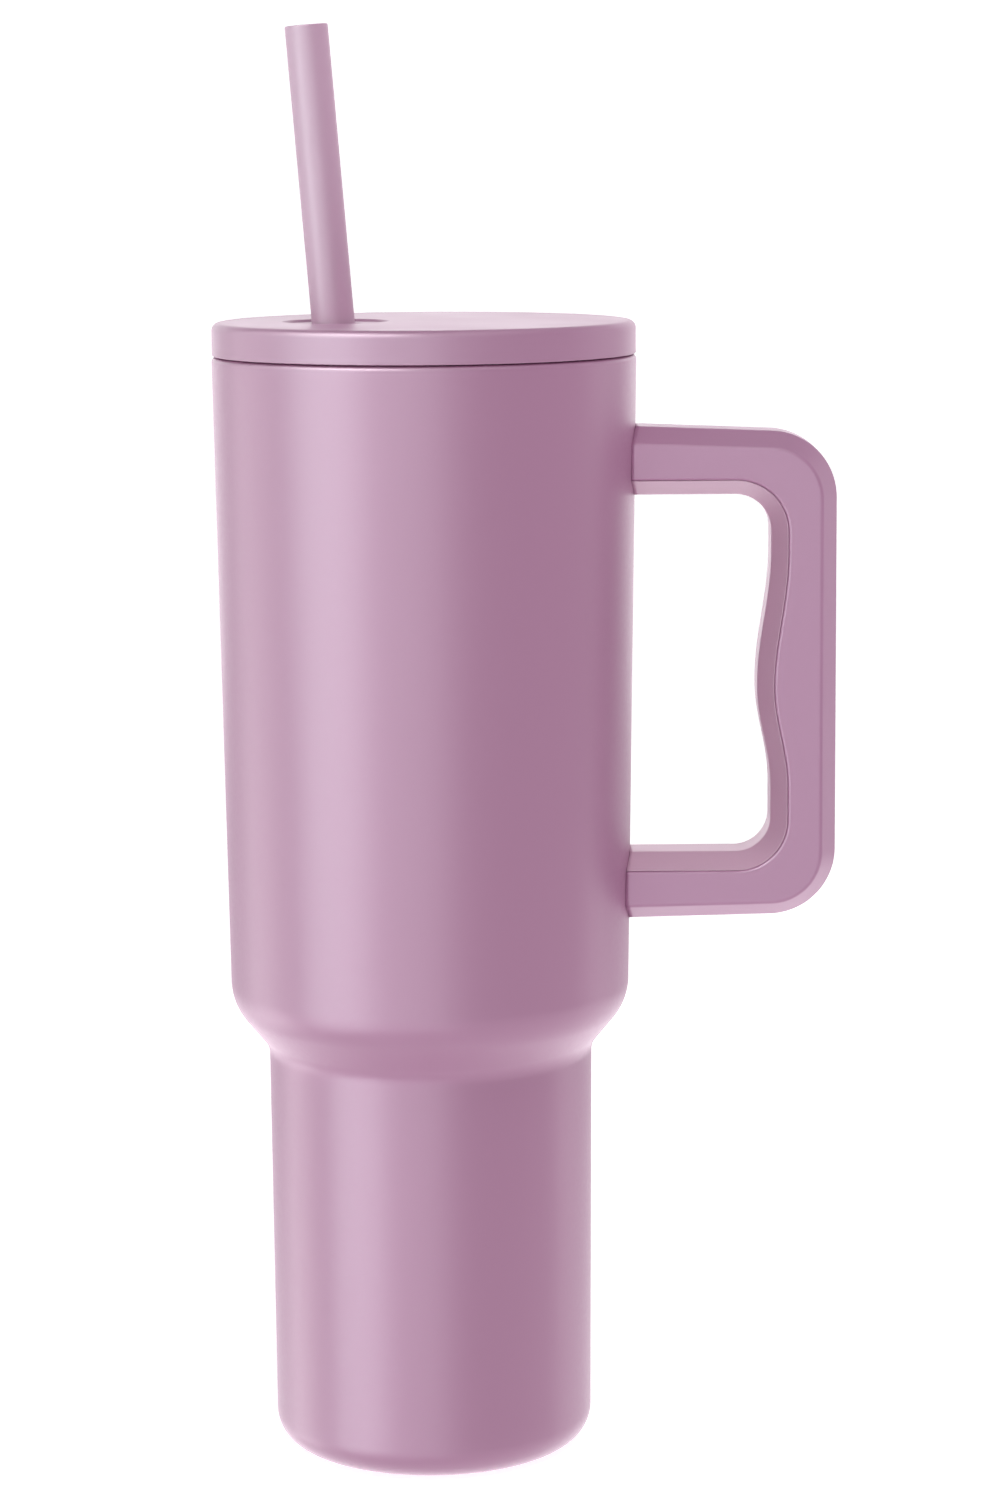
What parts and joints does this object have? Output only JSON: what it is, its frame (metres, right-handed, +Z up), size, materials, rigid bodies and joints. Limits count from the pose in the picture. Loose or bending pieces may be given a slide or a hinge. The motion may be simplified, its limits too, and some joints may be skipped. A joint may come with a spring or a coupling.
{
  "type": "insulated tumbler with lid",
  "caption": "Tall double-wall tumbler with a stepped cup-holder base, a screw-on flat lid, a drinking straw and a loop handle.",
  "frame": {"origin": "centre of the base's underside, on the vessel's axis, in the plane it stands on", "axes": "+Z up along the vessel's axis, +X towards the handle, +Y to the left of a viewer who looks along +X"},
  "size_m": [0.145, 0.0986, 0.3362],
  "materials": {
    "shell_coat": "satin powder coat, mauve",
    "liner_steel": "electropolished stainless steel",
    "base_steel": "spun satin stainless steel",
    "plain_steel": "mill finish stainless steel",
    "screw_steel": "bright plated steel",
    "foil": "bright rolled foil",
    "solder_glass": "fused glass solder",
    "getter": "pressed powder",
    "handle_plastic": "fine satin moulding, mauve",
    "grip_plastic": "fine satin moulding, mauve",
    "lid_plastic": "fine satin moulding, mauve",
    "plug_plastic": "smooth moulding, mauve",
    "silicone": "translucent pale silicone",
    "straw_plastic": "extruded tube, mauve"
  },
  "bodies": {
    "cup": {"outer_shell": "shell_coat", "inner_liner": "liner_steel", "liner_cup": "liner_steel", "outer_base": "base_steel", "base_cover": "base_steel", "seal_bead": "solder_glass", "getter_holder": "plain_steel", "getter_pill": "getter", "radiation_foil": "foil", "upper_bracket": "plain_steel", "lower_bracket": "plain_steel", "handle_frame": "handle_plastic", "handle_grip": "grip_plastic", "upper_screw": "screw_steel", "lower_screw": "screw_steel"},
    "lid_seal": {"lid_gasket": "silicone"},
    "lid": {"lid_cover": "lid_plastic", "lid_plug": "plug_plastic"},
    "straw_joint": {"straw_grommet": "silicone"},
    "straw_tube": {"straw": "straw_plastic"}
  },
  "joints": [
    {"name": "lid_rise", "type": "slide", "parent": "cup", "child": "lid_seal", "axis": [0, 0, 1], "range_m": [0, 0.01401]},
    {"name": "lid_turn", "type": "hinge", "parent": "lid_seal", "child": "lid", "pos_m": [0, 0, 0.2603], "axis": [0, 0, 1], "range_deg": [0, 630]},
    {"name": "straw_lean", "type": "hinge", "parent": "lid", "child": "straw_joint", "pos_m": [-0.0204, 0, 0.2605], "axis": [0, 1, 0], "range_deg": [-4, 4]},
    {"name": "straw_slide", "type": "slide", "parent": "straw_joint", "child": "straw_tube", "axis": [-0.0785, 0, 0.9969], "range_m": [0, 0.262]}
  ],
  "couplings": [
    {"joint": "lid_rise", "follows": "lid_turn", "m_per_rad": 0.0012732}
  ]
}
